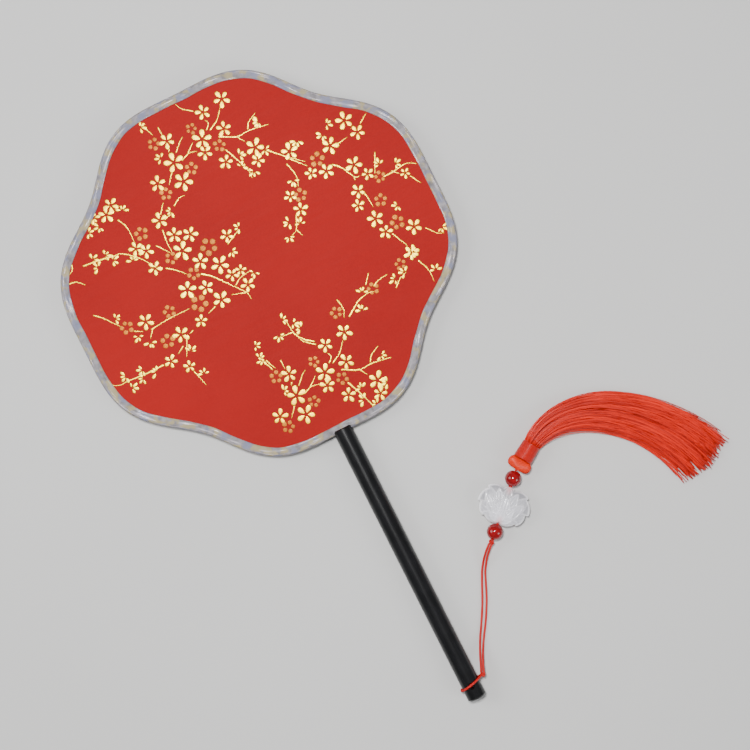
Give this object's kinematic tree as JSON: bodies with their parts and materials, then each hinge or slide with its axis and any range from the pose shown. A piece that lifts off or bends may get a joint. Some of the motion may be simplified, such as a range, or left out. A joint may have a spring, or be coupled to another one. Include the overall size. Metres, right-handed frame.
{
  "type": "round silk hand fan",
  "caption": "Rigid palace fan: lobed printed silk face on a hoop with a bound edge, straight round handle, and a beaded lotus and tassel pendant on a cord.",
  "frame": {"origin": "on the table, under the middle of the fan without its pendant; the fan lies on its back", "axes": "+Y up the handle to the top of the face, +Z out of the printed front, +X to the right"},
  "size_m": [0.3338, 0.4184, 0.0156],
  "materials": {
    "lacquered_wood": "polished black lacquer",
    "bamboo": "bare",
    "red_silk": "satin silk with gold print",
    "binding_tape": "woven tape with metallic thread",
    "red_cord": "twisted silky cord",
    "red_bead": "polished",
    "pale_jade": "carved and polished",
    "tassel_silk": "silk thread",
    "tassel_head_silk": "wound silk thread"
  },
  "bodies": {
    "fan": {"handle": "lacquered_wood", "hoop_tang": "bamboo", "rim_hoop": "bamboo", "back_silk": "red_silk", "front_silk": "red_silk", "edge_binding": "binding_tape", "cord_hitch": "red_cord"},
    "pendant": {"cord_strand_left": "red_cord", "cord_strand_right": "red_cord", "cord_knot": "red_cord", "bead_cord": "red_cord"},
    "lower_bead": {"lower_bead": "red_bead"},
    "lotus_bead": {"lotus_bead": "pale_jade"},
    "upper_bead": {"upper_bead": "red_bead"},
    "tassel": {"tassel_loop": "tassel_silk", "tassel_roll": "tassel_head_silk", "tassel_core": "tassel_silk", "tassel_wrap": "tassel_head_silk"},
    "fringe": {"tassel_fringe": "tassel_silk"}
  },
  "joints": [
    {"name": "pendant_swing", "type": "hinge", "parent": "fan", "child": "pendant", "pos_m": [0.00943, -0.19748, 0.00779], "axis": [0, 0, 1], "range_deg": [-150, 15]},
    {"name": "lower_bead_spin", "type": "hinge", "parent": "pendant", "child": "lower_bead", "pos_m": [0.05585, -0.12242, 0.0062], "axis": [0.7133, 0.7009, 0], "continuous": true},
    {"name": "lotus_spin", "type": "hinge", "parent": "pendant", "child": "lotus_bead", "pos_m": [0.06833, -0.11015, 0.0062], "axis": [0.7133, 0.7009, 0], "continuous": true},
    {"name": "upper_bead_spin", "type": "hinge", "parent": "pendant", "child": "upper_bead", "pos_m": [0.08081, -0.09789, 0.0062], "axis": [0.7133, 0.7009, 0], "continuous": true},
    {"name": "tassel_swing", "type": "hinge", "parent": "pendant", "child": "tassel", "pos_m": [0.08467, -0.0941, 0.0062], "axis": [0, 0, 1], "range_deg": [-20, 20]},
    {"name": "fringe_sway", "type": "hinge", "parent": "tassel", "child": "fringe", "pos_m": [0.10125, -0.08374, 0.0062], "axis": [0, 0, 1], "range_deg": [-15, 15]}
  ]
}
